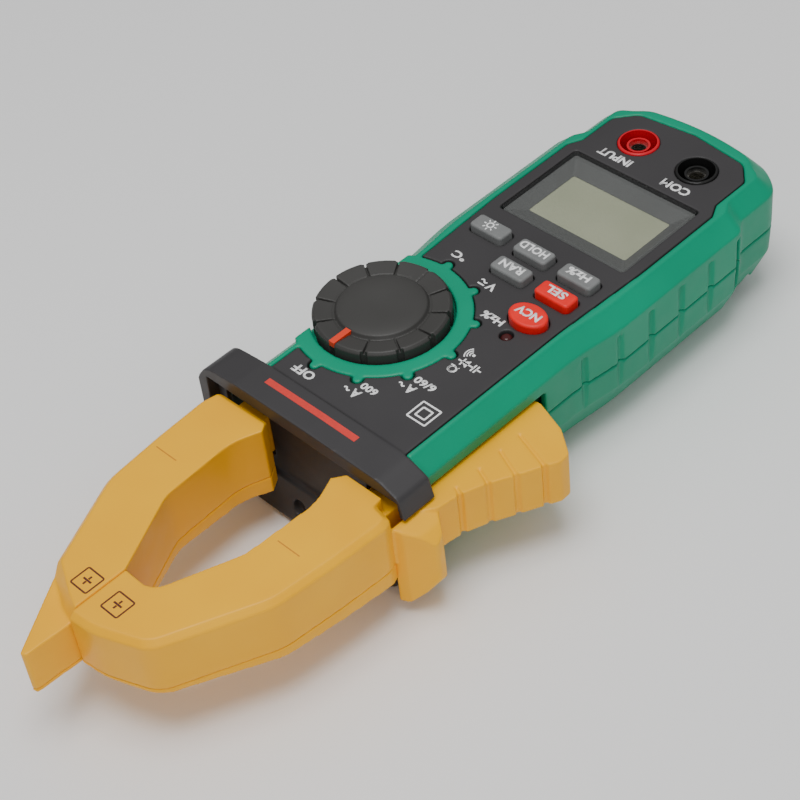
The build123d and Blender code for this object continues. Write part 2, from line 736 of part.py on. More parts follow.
# ------------------------------------------------------------ batteries
def make_batteries():
    xs = [-BATTERY_PITCH, 0, BATTERY_PITCH]
    low_y = BATTERY_CENTRE_Y - BATTERY_LENGTH / 2
    high_y = BATTERY_CENTRE_Y + BATTERY_LENGTH / 2
    with BuildPart() as cells:
        with BuildSketch(Plane.XZ.offset(-high_y + 0.9)):
            with Locations(*[(x, BATTERY_Z) for x in xs]):
                Circle(BATTERY_R)
        extrude(amount=BATTERY_LENGTH - 0.9)
        with BuildSketch(Plane.XZ.offset(-high_y)):
            with Locations(*[(x, BATTERY_Z) for x in xs]):
                Circle(1.9)
        extrude(amount=1.0)
    save(cells.part, "battery_cells")

    with BuildPart() as contacts:
        with BuildSketch(Plane.XZ.offset(-high_y - 0.6)):
            with Locations(*[(x, BATTERY_Z) for x in xs]):
                Rectangle(8.4, 9)
        extrude(amount=0.5)
        with BuildSketch(Plane.XZ.offset(-low_y + 2.25)):
            with Locations(*[(x, BATTERY_Z) for x in xs]):
                Rectangle(8.4, 9)
        extrude(amount=0.35)
    save(contacts.part, "battery_contacts")

    with BuildPart() as springs:
        for x in xs:
            with BuildLine() as coil:
                Helix(
                    pitch=0.8,
                    height=1.6,
                    radius=3.0,
                    center=(x, low_y - 1.95, BATTERY_Z),
                    direction=(0, 1, 0),
                )
            with BuildSketch(Plane(origin=coil.line @ 0, z_dir=coil.line % 0)):
                Circle(0.22)
            sweep(path=coil.line)
    save(springs.part, "battery_springs")

    with BuildPart() as door:
        with BuildSketch(Plane.XY):
            with Locations((0, DOOR_CENTRE_Y)):
                RectangleRounded(DOOR_X - 0.4, DOOR_Y - 0.4, 1.0)
        extrude(amount=WALL - 0.2)
        with BuildSketch(Plane.XY):
            with GridLocations(0, 2.4, 1, 5):
                with Locations((0, DOOR_CENTRE_Y + 14)):
                    Rectangle(16, 0.9)
        extrude(amount=0.5, mode=Mode.SUBTRACT)
        with Locations((0, DOOR_CENTRE_Y - 21, WALL - 0.2)):
            Hole(1.4)
    save(door.part, "battery_door")

    with BuildPart() as screw:
        with BuildSketch(Plane.XY.offset(0.1)):
            with Locations((0, DOOR_CENTRE_Y - 21)):
                Circle(1.3)
        extrude(amount=1.7)
        with BuildSketch(Plane.XY.offset(0.1)):
            with Locations((0, DOOR_CENTRE_Y - 21)):
                Rectangle(2.0, 0.5)
                Rectangle(0.5, 2.0)
        extrude(amount=0.7, mode=Mode.SUBTRACT)
    save(screw.part, "battery_door_screw")


# ------------------------------------------------------------ fasteners and pins
def make_fasteners():
    with BuildPart() as screws:
        with BuildSketch(Plane.XY.offset(6.6)):
            with Locations(*CASE_SCREWS):
                Circle(SCREW_HEAD_R)
        extrude(amount=2.3)
        with BuildSketch(Plane.XY.offset(8.8)):
            with Locations(*CASE_SCREWS):
                Circle(SCREW_R)
        extrude(amount=19.0)
        with BuildSketch(Plane.XY.offset(6.6)):
            with Locations(*CASE_SCREWS):
                Rectangle(3.4, 0.8)
                Rectangle(0.8, 3.4)
        extrude(amount=1.0, mode=Mode.SUBTRACT)
    save(screws.part, "case_screws")

    for name, x in (("trigger", -PIN_X), ("hook", PIN_X)):
        with BuildPart() as pin:
            with BuildSketch(Plane.XY.offset(3.2)):
                with Locations((x, PIN_Y)):
                    Circle(PIN_R)
            extrude(amount=28.4)
            chamfer(pin.edges().filter_by(GeomType.CIRCLE), 0.3)
        save(pin.part, f"{name}_jaw_pin")


# ------------------------------------------------------------ jaws
def hook_arm_profile():
    """Plan of the arm on the dial side, whose tip is a pointed hook."""
    with BuildSketch() as profile:
        with BuildLine():
            FilletPolyline(
                (JAW_SPLIT_X + 0.1, 142.0),
                (JAW_SPLIT_X + 0.1, 126.4),
                (13.3, 106.5),
                (14.3, 86.0),
                (11.4, 78.8),
                (13.6, 75.4),
                (30.0, 75.8),
                (31.0, 81.0),
                (30.2, 95.0),
                (28.6, 111.5),
                (16.8, 137.0),
                (5.6, 155.0),
                (4.2, 154.6),
                radius=[0, 0.3, 10, 16, 0, 0, 1.5, 4, 0, 14, 20, 0.5, 0.5],
                close=True,
            )
        make_face()
    return profile.sketch


def trigger_arm_profile():
    """Plan of the arm on the trigger side, with the round tip."""
    with BuildSketch() as profile:
        with BuildLine():
            FilletPolyline(
                (JAW_SPLIT_X - 0.1, 126.4),
                (-5.4, 126.8),
                (-13.3, 106.5),
                (-14.3, 86.0),
                (-11.4, 78.8),
                (-13.6, 75.8),
                (-24.8, 75.8),
                (-24.9, 77.4),
                (-30.0, 78.4),
                (-31.0, 81.0),
                (-30.2, 95.0),
                (-28.6, 111.5),
                (-16.8, 137.3),
                (-4.0, 142.2),
                (JAW_SPLIT_X - 0.1, 142.9),
                radius=[0.3, 5, 10, 16, 0, 0, 0, 0, 1.5, 4, 0, 14, 8, 20, 0],
                close=True,
            )
        make_face()
    return profile.sketch


def arm_line(side, tip_x):
    """Centre line of an arm, from its tip face down to its root."""
    tip_turn = 11.4 if side > 0 else -10.4
    slope = 0.23 if side > 0 else 0.13
    return [
        (tip_x, 132.8 + slope * abs(tip_turn - tip_x)),
        (tip_turn, 132.8),
        (side * 21.2, 109.5),
        (side * 22.4, 92.0),
    ]


def core_profile(side, width, tip_x, root_x):
    """Plan of the core: along the arm, through the neck and behind the front wall."""
    with BuildSketch() as profile:
        with BuildLine():
            FilletPolyline(
                *arm_line(side, tip_x - side),
                (side * 20.5, 72.0),
                (side * 17.6, 66.0),
                (root_x, 66.0),
                radius=[5, 14, 0, 4, 2.5],
            )
        trace(line_width=width)
        # squared off, so that the two tips meet face to face
        with Locations((tip_x - side * 4, 134.6)):
            Rectangle(8, 12, mode=Mode.SUBTRACT)
    return profile.sketch


def cavity_profile(side, width, tip_x):
    """Plan of the hollow in an arm, round its core and winding."""
    with BuildSketch() as profile:
        with BuildLine():
            FilletPolyline(*arm_line(side, tip_x), (side * 22.0, 80.0), radius=[7, 14, 0])
        trace(line_width=width)
    return profile.sketch


def hook_step():
    """Solid taken off the top of the hook, with a steep riser behind it."""
    with BuildPart() as step:
        for depth, back in ((0, 0), (JAW_TOP - HOOK_TOP, 2.8)):
            with BuildSketch(Plane.XY.offset(HOOK_TOP + depth)):
                with BuildLine():
                    Polyline(
                        (0, 143.4 - back / 2),
                        (8, 141.4 - back),
                        (26, 131.8 - back),
                        (26, 160),
                        (0, 160),
                        close=True,
                    )
                make_face()
        loft(ruled=True)
    return step.part


def underside_wedge():
    """Solid that tapers the underside of a jaw towards its tip."""
    with BuildPart() as wedge:
        with BuildSketch(Plane.YZ.offset(-60)):
            with BuildLine():
                Polyline(
                    (70, JAW_ROOT_BOTTOM),
                    (80, JAW_ROOT_BOTTOM),
                    (142, JAW_TIP_BOTTOM),
                    (170, JAW_TIP_BOTTOM),
                    (170, 0),
                    (70, 0),
                    close=True,
                )
            make_face()
        extrude(amount=120)
    return wedge.part


def lever_profile():
    """Plan of the trigger lever, from the hub to its rear end."""
    with BuildSketch() as profile:
        with BuildLine():
            FilletPolyline(
                (-17.0, 50.0),
                (-24.2, 46.0),
                (-24.2, 29.0),
                (-28.5, 27.9),
                (-38.0, 31.2),
                (-44.6, 36.0),
                (-44.8, 39.0),
                (-42.4, 43.5),
                (-39.4, 49.5),
                (-36.3, 55.5),
                (-34.0, 61.5),
                (-33.2, 67.5),
                (-30.0, 71.0),
                (-17.0, 62.0),
                radius=[1, 2, 1, 1, 6, 1.5, 1.5, 10, 20, 20, 20, 4, 1, 1],
                close=True,
            )
        make_face()
    return profile.sketch


def lever_grooves():
    """Grip grooves: fine lines over the top of the lever and down its outer face."""
    ends = [
        ((-34.2, 61.0), (-31.8, 59.9)),
        ((-36.9, 54.6), (-31.8, 52.4)),
        ((-39.9, 48.6), (-31.6, 45.2)),
        ((-42.9, 42.4), (-31.5, 38.6)),
    ]
    with BuildPart() as grooves:
        for outer, inner in ends:
            with BuildSketch(Plane.XY.offset(LEVER_TOP - 0.5)):
                with BuildLine():
                    Line(outer, inner)
                trace(line_width=1.0)
            extrude(amount=2)
            with BuildSketch(Plane.XY.offset(LEVER_BOTTOM - 1)):
                with Locations(outer):
                    Circle(0.75)
            extrude(amount=LEVER_TOP - LEVER_BOTTOM + 2)
    return grooves.part


def flange_block():
    """Finger barrier of the trigger jaw: a plan outline trimmed by its front outline."""
    with BuildPart() as block:
        with BuildSketch(Plane.XY.offset(4.0)):
            with BuildLine():
                FilletPolyline(
                    (-29.4, 78.6),
                    (-32.2, 77.4),
                    (-37.9, 72.6),
                    (-36.9, 69.8),
                    (-33.2, 67.2),
                    (-29.4, 67.2),
                    radius=[0.1, 0.8, 1.2, 1.0, 1.0, 0.1],
                    close=True,
                )
            make_face()
        extrude(amount=24.3)
        with BuildSketch(Plane.XZ.offset(-60)):
            with BuildLine():
                FilletPolyline(
                    (-26.0, 4.0),
                    (-31.8, 4.0),
                    (-35.0, 7.6),
                    (-38.0, 12.6),
                    (-38.0, 23.6),
                    (-35.0, 26.6),
                    (-31.0, 28.3),
                    (-26.0, 28.3),
                    radius=[0.5, 2, 4, 2, 2, 3, 2, 0.5],
                    close=True,
                )
            make_face()
        extrude(amount=-25, mode=Mode.INTERSECT)
    return block.part


def make_jaw(side, name, arm, tip_x):
    """Moulded jaw and the parts inside it; side is -1 for the trigger jaw."""
    pin = (side * PIN_X, PIN_Y)
    with BuildPart() as jaw:
        with BuildSketch(Plane.XY.offset(JAW_SPLIT_Z)):
            add(arm)
        extrude(amount=JAW_TOP - JAW_SPLIT_Z)
        if side > 0:
            add(hook_step(), mode=Mode.SUBTRACT)
        rim = jaw.faces().sort_by(Axis.Z)[-1].edges()
        outer = rim.filter_by(lambda e: abs(e.center().X) > 20.5 and e.center().Y > 79)
        chamfer(outer, ARM_BEVEL)
        # neck through the front wall, tail, and hub round the pivot pin
        with BuildSketch(Plane.XY.offset(JAW_SPLIT_Z)):
            with BuildLine():
                Polyline(
                    (side * 17.2, 79.0),
                    (side * 17.2, 70.6),
                    (side * 10.6, 62.0),
                    (side * 11.0, 56.0),
                    (side * 23.0, 56.0),
                    (side * 23.0, 65.6),
                    (side * 26.0, 72.0),
                    (side * 26.0, 79.0),
                    close=True,
                )
            make_face()
        extrude(amount=NECK_TOP - JAW_SPLIT_Z)
        with BuildSketch(Plane.XY.offset(HUB_TOP)):
            with Locations((side * PIN_X, PIN_Y - 1)):
                Rectangle(30, 18.6)
        extrude(amount=10, mode=Mode.SUBTRACT)
        with BuildSketch(Plane.XY.offset(GEAR_TOP)):
            with Locations(pin):
                Circle(HUB_R)
        extrude(amount=HUB_TOP - GEAR_TOP)
        with BuildSketch(Plane.XY.offset(HUB_BOTTOM)):
            with Locations(pin):
                Circle(HUB_STEP_R)
        extrude(amount=GEAR_TOP - HUB_BOTTOM)
        if side < 0:
            with BuildSketch(Plane.XY.offset(LEVER_BOTTOM)):
                add(lever_profile())
                with Locations(pin):
                    Circle(HUB_R + 0.3, mode=Mode.SUBTRACT)
            extrude(amount=LEVER_TOP - LEVER_BOTTOM)
            with BuildSketch(Plane.XY.offset(HUB_TOP)):
                with Locations((-15, 55)):
                    Rectangle(17.4, 18.6)
            extrude(amount=10, mode=Mode.SUBTRACT)
            with BuildSketch(Plane.XY.offset(GEAR_TOP)):
                with Locations(pin):
                    Circle(HUB_R + 1)
                    Circle(HUB_R - 1, mode=Mode.SUBTRACT)
            extrude(amount=HUB_TOP - GEAR_TOP)
            add(lever_grooves(), mode=Mode.SUBTRACT)
            add(flange_block())
        # hollow for the winding, lower under the hook's step, and a channel for the core
        with BuildSketch(Plane.XY.offset(JAW_SPLIT_Z)):
            add(cavity_profile(side, 11.8, tip_x + side * 1.2))
        extrude(amount=HOOK_TOP - WALL - JAW_SPLIT_Z, mode=Mode.SUBTRACT)
        with BuildSketch(Plane.XY.offset(HOOK_TOP - WALL)):
            add(cavity_profile(side, 11.8, tip_x + side * 1.2))
            if side > 0:
                with BuildLine():
                    Polyline((0, 140.0), (7, 136.8), (26, 126.6), (26, 160), (0, 160), close=True)
                make_face(mode=Mode.SUBTRACT)
        extrude(amount=JAW_TOP - HOOK_TOP, mode=Mode.SUBTRACT)
        with BuildSketch(Plane.XY.offset(CORE_BOTTOM - 0.1)):
            add(core_profile(side, CORE_W + 0.3, tip_x - side * 2, -side * 2.0))
        extrude(amount=CORE_TOP - CORE_BOTTOM + 0.2, mode=Mode.SUBTRACT)
        with BuildSketch(Plane.XY.offset(HUB_BOTTOM - 1)):
            with Locations(pin):
                Circle(PIN_R + RUNNING_GAP)
        extrude(amount=30, mode=Mode.SUBTRACT)
    save(jaw.part, f"{name}_jaw")

    with BuildPart() as cover:
        with BuildSketch(Plane.XY.offset(JAW_ROOT_BOTTOM)):
            add(arm)
        extrude(amount=JAW_SPLIT_Z - JAW_ROOT_BOTTOM)
        add(underside_wedge(), mode=Mode.SUBTRACT)
        if side < 0:
            add(flange_block(), mode=Mode.SUBTRACT)
    save(cover.part, f"{name}_jaw_cover")

    with BuildPart() as core:
        with BuildSketch(Plane.XY.offset(CORE_BOTTOM)):
            add(core_profile(side, CORE_W, tip_x + side * 0.15, side * 0.9))
        extrude(amount=CORE_TOP - CORE_BOTTOM)
    save(core.part, f"{name}_core")

    make_winding(side, name)
    make_gear(side, name)


def make_winding(side, name):
    """Bobbin on the straight stretch of the core, and the copper wound on it."""
    centre = Vector(side * 21.86, 99.8, CORE_Z)
    lean = Vector(side * (21.2 - 22.4), 109.5 - 92.0, 0).normalized()
    plane = Plane(origin=centre - lean * (BOBBIN_LENGTH / 2), x_dir=(0, 0, 1), z_dir=lean)
    with BuildPart() as bobbin:
        with BuildSketch(plane):
            Rectangle(CORE_TOP - CORE_BOTTOM + 2.0, CORE_W + 2.0)
        extrude(amount=BOBBIN_LENGTH)
        for offset in (0, BOBBIN_LENGTH - 1):
            with BuildSketch(plane.offset(offset)):
                RectangleRounded(12.4, 10.8, 1.0)
            extrude(amount=1.0)
        with BuildSketch(plane):
            Rectangle(CORE_TOP - CORE_BOTTOM + 0.4, CORE_W + 0.4)
        extrude(amount=BOBBIN_LENGTH, mode=Mode.SUBTRACT)
    save(bobbin.part, f"{name}_bobbin")

    with BuildPart() as winding:
        with BuildSketch(plane.offset(1.1)):
            RectangleRounded(11.6, 10.0, 1.4)
            Rectangle(CORE_TOP - CORE_BOTTOM + 2.1, CORE_W + 2.1, mode=Mode.SUBTRACT)
        extrude(amount=BOBBIN_LENGTH - 2.2)
    save(winding.part, f"{name}_winding")


def gear_outline(radius, teeth, phase):
    """Closed outline of a spur gear with involute flanks, phase turning it in degrees."""
    module = 2 * radius / teeth
    base_r = radius * math.cos(math.radians(20))
    tip_r = radius + 0.85 * module
    root_r = radius - 1.15 * module
    backlash = 0.12
    tooth_half = (math.pi * module / 2 - backlash) / 2 / radius
    involute_at_pitch = math.tan(math.radians(20)) - math.radians(20)
    points = []
    for tooth in range(teeth):
        centre = math.radians(phase) + tooth * 2 * math.pi / teeth
        flank = []
        for step in range(5):
            r = base_r + (tip_r - base_r) * step / 4
            roll = math.acos(base_r / r)
            half = tooth_half + involute_at_pitch - (math.tan(roll) - roll)
            flank.append((r, half))
        left = [(root_r, -flank[0][1])] + [(r, -half) for r, half in flank]
        right = [(r, half) for r, half in reversed(flank)] + [(root_r, flank[0][1])]
        points += [
            (r * math.cos(centre + angle), r * math.sin(centre + angle))
            for r, angle in left + right
        ]
    return points


def make_gear(side, name):
    """Gear sector keyed to the hub; both sectors mesh on the centre plane."""
    half_sector = 42
    facing = 0 if side < 0 else 180
    # a tooth of one gear meets a space of the other
    phase = facing if side < 0 else facing + 180 / GEAR_TEETH
    with BuildPart() as gear:
        with BuildSketch(Plane(origin=(side * PIN_X, PIN_Y, GEAR_BOTTOM))):
            with BuildLine():
                Polyline(*gear_outline(PIN_X, GEAR_TEETH, phase), close=True)
            make_face()
            with BuildLine():
                Polyline(
                    (0, 0),
                    (40 * math.cos(math.radians(facing - half_sector)),
                     40 * math.sin(math.radians(facing - half_sector))),
                    (40 * math.cos(math.radians(facing + half_sector)),
                     40 * math.sin(math.radians(facing + half_sector))),
                    close=True,
                )
            make_face(mode=Mode.INTERSECT)
            Circle(HUB_STEP_R + 1.4)
            Circle(HUB_STEP_R + 0.01, mode=Mode.SUBTRACT)
        extrude(amount=GEAR_TOP - GEAR_BOTTOM - 0.1)
    save(gear.part, f"{name}_gear")


def make_return_spring():
    """Coil spring that pushes the trigger lever outwards."""
    with BuildPart() as spring:
        with BuildLine() as coil:
            Helix(
                pitch=1.6,
                height=9.3,
                radius=2.6,
                center=(-23.85, 40.0, 20.0),
                direction=(1, 0, 0),
            )
        with BuildSketch(Plane(origin=coil.line @ 0, z_dir=coil.line % 0)):
            Circle(0.3)
        sweep(path=coil.line)
    save(spring.part, "return_spring")


def main():
    make_front_case()
    make_rear_case()
    make_face_plate()
    make_lower_guard()
    make_display()
    make_board()
    make_socket("input", SOCKET_PITCH / 2)
    make_socket("common", -SOCKET_PITCH / 2)
    for name, centre in BUTTONS.items():
        make_button(name, centre)
    make_voltage_sense_button()
    make_keypad()
    make_switch()
    make_batteries()
    make_fasteners()
    make_jaw(1, "hook", hook_arm_profile(), JAW_SPLIT_X + 0.1)
    make_jaw(-1, "trigger", trigger_arm_profile(), JAW_SPLIT_X - 0.1)
    make_return_spring()


main()
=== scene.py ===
"""Looks of the clamp meter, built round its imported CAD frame.

Metres, in the CAD's frame: the meter lies on its back, +Z comes out of the display,
+Y points at the jaw tips and +X is the side of the function switch.
"""

import json
import math

import bmesh
import bpy
from mathutils import Matrix, Vector
from mathutils.bvhtree import BVHTree


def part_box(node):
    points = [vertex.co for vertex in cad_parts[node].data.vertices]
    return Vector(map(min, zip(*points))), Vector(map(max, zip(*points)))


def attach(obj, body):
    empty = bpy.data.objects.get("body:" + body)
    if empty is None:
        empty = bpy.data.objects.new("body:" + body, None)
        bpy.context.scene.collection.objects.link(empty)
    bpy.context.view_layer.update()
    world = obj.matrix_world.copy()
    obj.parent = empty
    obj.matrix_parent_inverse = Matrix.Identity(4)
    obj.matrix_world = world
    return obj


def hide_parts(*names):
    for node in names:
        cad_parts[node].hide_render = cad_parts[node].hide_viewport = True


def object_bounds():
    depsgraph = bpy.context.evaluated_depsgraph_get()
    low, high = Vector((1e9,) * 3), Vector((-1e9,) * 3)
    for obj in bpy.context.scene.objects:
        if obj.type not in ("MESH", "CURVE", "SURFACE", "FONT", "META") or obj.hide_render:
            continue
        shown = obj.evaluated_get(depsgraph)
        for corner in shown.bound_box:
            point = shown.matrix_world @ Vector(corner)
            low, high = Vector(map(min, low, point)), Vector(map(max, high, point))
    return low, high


MM = 0.001
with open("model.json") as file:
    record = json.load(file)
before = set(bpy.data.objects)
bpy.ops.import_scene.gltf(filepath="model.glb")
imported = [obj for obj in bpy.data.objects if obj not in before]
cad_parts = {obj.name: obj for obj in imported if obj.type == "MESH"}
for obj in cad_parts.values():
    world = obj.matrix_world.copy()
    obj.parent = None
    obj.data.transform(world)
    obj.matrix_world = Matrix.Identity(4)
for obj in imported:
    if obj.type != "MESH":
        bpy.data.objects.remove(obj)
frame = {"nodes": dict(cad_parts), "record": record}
nodes = frame["nodes"]
slots = {row["node"]: row["material_slot"] for row in frame["record"]["subparts"]}
body_names = {
    node: body
    for body, members in frame["record"]["behaviour"]["bodies"].items()
    for node in members
}
cad_low, cad_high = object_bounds()


# ------------------------------------------------------------ places read from the frame
def centre_of(node):
    low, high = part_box(node)
    return (low + high) / 2


def top_of(node):
    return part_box(node)[1].z


LENS_MIDDLE_TO_PLATE = 0.6 * MM
PLATE_Z = centre_of("display_lens").z + LENS_MIDDLE_TO_PLATE
JAW_TOP_Z = top_of("hook_jaw")


# ------------------------------------------------------------ camera, light and floor
FLOOR_GAP = 0.05 * MM


def make_camera():
    """Three-quarter view from the trigger side, over the jaw tips."""
    place = Vector((-0.25826, 0.26376, 0.35487))
    target = Vector((0.00407, 0.04263, 0.020))
    up = Vector((0.44726, -0.54423, 0.70977))
    data = bpy.data.cameras.new("camera")
    data.lens = 89.5
    data.sensor_width = 36.0
    data.clip_start = 0.01
    data.dof.use_dof = False
    camera = bpy.data.objects.new("camera", data)
    bpy.context.scene.collection.objects.link(camera)
    look = (target - place).normalized()
    right = look.cross(up).normalized()
    axes = Matrix((right, right.cross(look), -look)).transposed()
    camera.rotation_mode = "QUATERNION"
    camera.rotation_quaternion = axes.to_quaternion()
    camera.location = place
    bpy.context.scene.camera = camera


def make_area_light(name, place, target, size, power):
    data = bpy.data.lights.new(name, "AREA")
    data.shape = "DISK"
    data.size = size
    data.energy = power
    light = bpy.data.objects.new(name, data)
    bpy.context.scene.collection.objects.link(light)
    light.location = place
    light.rotation_mode = "QUATERNION"
    aim = Vector(target) - Vector(place)
    light.rotation_quaternion = aim.to_track_quat("-Z", "Y")


def make_studio():
    """Soft box overhead, a wide fill from the jaws' side, and a room that is brightest above."""
    middle = (0, 0.04, 0.02)
    make_area_light("key", (-0.06, 0.16, 0.90), middle, 0.55, 5.4)
    make_area_light("fill", (-0.62, 0.55, 0.42), middle, 0.7, 1.5)
    world = bpy.data.worlds.new("studio")
    world.use_nodes = True
    tree = world.node_tree
    background = tree.nodes["Background"]
    coords = tree.nodes.new("ShaderNodeTexCoord")
    split = tree.nodes.new("ShaderNodeSeparateXYZ")
    link(tree, coords, "Generated", split, "Vector")
    sky = ramp(tree, split, "Z", [(0.35, grey(0.12)), (0.97, grey(0.75))])
    link(tree, sky, "Color", background, "Color")
    bpy.context.scene.world = world


def make_floor():
    """Plain pale sheet, a hair under the back face."""
    mesh = bpy.data.meshes.new("floor")
    half = 3.0
    z = -FLOOR_GAP
    corners = [(-half, -half, z), (half, -half, z), (half, half, z), (-half, half, z)]
    mesh.from_pydata(corners, [], [(0, 1, 2, 3)])
    floor = bpy.data.objects.new("floor", mesh)
    bpy.context.scene.collection.objects.link(floor)
    material = bpy.data.materials.new("floor_paper")
    material.use_nodes = True
    shader = material.node_tree.nodes["Principled BSDF"]
    shader.inputs["Base Color"].default_value = (0.9, 0.9, 0.9, 1)
    shader.inputs["Roughness"].default_value = 0.8
    mesh.materials.append(material)


# ------------------------------------------------------------ materials
def link(tree, a, out_name, b, in_name):
    tree.links.new(a.outputs[out_name], b.inputs[in_name])


def base_material(name, roughness, metallic=0.0, specular=0.5):
    material = bpy.data.materials.new(name)
    material.use_nodes = True
    tree = material.node_tree
    shader = tree.nodes["Principled BSDF"]
    shader.inputs["Roughness"].default_value = roughness
    shader.inputs["Metallic"].default_value = metallic
    shader.inputs["Specular IOR Level"].default_value = specular
    return material, tree, shader


def noise(tree, scale, detail, roughness=0.55):
    coords = tree.nodes.new("ShaderNodeTexCoord")
    texture = tree.nodes.new("ShaderNodeTexNoise")
    texture.inputs["Scale"].default_value = scale
    texture.inputs["Detail"].default_value = detail
    texture.inputs["Roughness"].default_value = roughness
    link(tree, coords, "Object", texture, "Vector")
    return texture


def ramp(tree, source, out_name, stops):
    """Colour ramp of (position, colour) stops driven by a texture."""
    node = tree.nodes.new("ShaderNodeValToRGB")
    link(tree, source, out_name, node, "Fac")
    elements = node.color_ramp.elements
    while len(elements) < len(stops):
        elements.new(0.5)
    for element, (position, colour) in zip(elements, stops):
        element.position = position
        element.color = (*colour, 1)
    return node


def grey(level):
    return (level, level, level)


def scaled(colour, factor):
    return tuple(min(1.0, c * factor) for c in colour)


def add_bump(tree, shader, height, out_name, strength, distance):
    bump = tree.nodes.new("ShaderNodeBump")
    bump.inputs["Strength"].default_value = strength
    bump.inputs["Distance"].default_value = distance
    link(tree, height, out_name, bump, "Height")
    link(tree, bump, "Normal", shader, "Normal")


GRAIN_SIZE = 0.30 * MM
GRAIN_DEPTH = 0.02 * MM


def moulded_plastic(name, colour, roughness, grain, wear=0.0):
    """Spark-eroded moulded plastic: slow colour drift, uneven sheen, fine grain, paler edges."""
    material, tree, shader = base_material(name, roughness, specular=0.28)
    drift = noise(tree, 38.0, 2.0)
    tint = ramp(
        tree,
        drift,
        "Fac",
        [(0.3, scaled(colour, 0.94)), (0.7, scaled(colour, 1.05))],
    )
    if wear > 0:
        geometry = tree.nodes.new("ShaderNodeNewGeometry")
        edge = ramp(tree, geometry, "Pointiness", [(0.52, grey(0)), (0.62, grey(wear))])
        mix = tree.nodes.new("ShaderNodeMix")
        mix.data_type = "RGBA"
        link(tree, edge, "Color", mix, "Factor")
        link(tree, tint, "Color", mix, "A")
        mix.inputs["B"].default_value = (*scaled(colour, 1.35), 1)
        link(tree, mix, "Result", shader, "Base Color")
    else:
        link(tree, tint, "Color", shader, "Base Color")
    sheen = noise(tree, 160.0, 4.0)
    gloss = ramp(
        tree,
        sheen,
        "Fac",
        [(0.3, grey(roughness - 0.05)), (0.7, grey(roughness + 0.06))],
    )
    link(tree, gloss, "Color", shader, "Roughness")
    pits = noise(tree, 1.0 / GRAIN_SIZE, 2.0, 0.6)
    add_bump(tree, shader, pits, "Fac", grain, GRAIN_DEPTH)
    return material


def rubber(name, colour, roughness=0.55):
    """Silicone rubber: soft grain and a dusty bloom."""
    material, tree, shader = base_material(name, roughness, specular=0.4)
    bloom = noise(tree, 240.0, 5.0)
    tint = ramp(
        tree,
        bloom,
        "Fac",
        [(0.3, scaled(colour, 0.92)), (0.72, scaled(colour, 1.1))],
    )
    link(tree, tint, "Color", shader, "Base Color")
    shader.inputs["Sheen Weight"].default_value = 0.08
    fine = noise(tree, 3600.0, 2.0)
    add_bump(tree, shader, fine, "Fac", 0.15, 0.04 * MM)
    return material


def metal(name, colour, roughness, stretch=(1, 1, 12)):
    """Turned or drawn metal with fine brush lines."""
    material, tree, shader = base_material(name, roughness, metallic=1.0)
    coords = tree.nodes.new("ShaderNodeTexCoord")
    mapping = tree.nodes.new("ShaderNodeMapping")
    mapping.inputs["Scale"].default_value = stretch
    link(tree, coords, "Object", mapping, "Vector")
    lines = tree.nodes.new("ShaderNodeTexNoise")
    lines.inputs["Scale"].default_value = 900.0
    lines.inputs["Detail"].default_value = 4.0
    link(tree, mapping, "Vector", lines, "Vector")
    tint = ramp(
        tree,
        lines,
        "Fac",
        [(0.3, scaled(colour, 0.85)), (0.7, scaled(colour, 1.08))],
    )
    link(tree, tint, "Color", shader, "Base Color")
    gloss = ramp(
        tree,
        lines,
        "Fac",
        [(0.3, grey(roughness - 0.06)), (0.7, grey(roughness + 0.1))],
    )
    link(tree, gloss, "Color", shader, "Roughness")
    add_bump(tree, shader, lines, "Fac", 0.1, 0.03 * MM)
    return material


def print_and_shade_paint(name, colour):
    """Pad-printed ink with slightly uneven cover; the same flat paint also makes the painted
    groove shade of the jaw ticks.
    """
    material, tree, shader = base_material(name, 0.5)
    cover = noise(tree, 1500.0, 3.0)
    tint = ramp(
        tree,
        cover,
        "Fac",
        [(0.25, scaled(colour, 0.88)), (0.6, colour)],
    )
    link(tree, tint, "Color", shader, "Base Color")
    add_bump(tree, shader, cover, "Fac", 0.1, 0.02 * MM)
    return material


def clear_window():
    """Thin clear plastic: transparent, with reflections by the Fresnel law."""
    material = bpy.data.materials.new("clear_window")
    material.use_nodes = True
    tree = material.node_tree
    tree.nodes.clear()
    output = tree.nodes.new("ShaderNodeOutputMaterial")
    clear = tree.nodes.new("ShaderNodeBsdfTransparent")
    clear.inputs["Color"].default_value = (0.97, 0.98, 0.97, 1)
    gloss = tree.nodes.new("ShaderNodeBsdfGlossy")
    gloss.inputs["Roughness"].default_value = 0.06
    facing = tree.nodes.new("ShaderNodeFresnel")
    facing.inputs["IOR"].default_value = 1.42
    geometry = tree.nodes.new("ShaderNodeNewGeometry")
    front = tree.nodes.new("ShaderNodeMath")
    front.operation = "SUBTRACT"
    front.inputs[0].default_value = 1.0
    link(tree, geometry, "Backfacing", front, 1)
    share = tree.nodes.new("ShaderNodeMath")
    share.operation = "MULTIPLY"
    link(tree, facing, "Fac", share, 0)
    link(tree, front, "Value", share, 1)
    mix = tree.nodes.new("ShaderNodeMixShader")
    link(tree, share, "Value", mix, "Fac")
    link(tree, clear, "BSDF", mix, 1)
    link(tree, gloss, "BSDF", mix, 2)
    link(tree, mix, "Shader", output, "Surface")
    return material


def liquid_crystal():
    """Reflective display with nothing shown: cloudy grey-green."""
    material, tree, shader = base_material("liquid_crystal", 0.35)
    cloud = noise(tree, 60.0, 2.0)
    tint = ramp(
        tree,
        cloud,
        "Fac",
        [(0.3, (0.335, 0.345, 0.245)), (0.7, (0.375, 0.38, 0.275))],
    )
    link(tree, tint, "Color", shader, "Base Color")
    fine = noise(tree, 700.0, 2.0)
    add_bump(tree, shader, fine, "Fac", 0.05, 0.01 * MM)
    return material


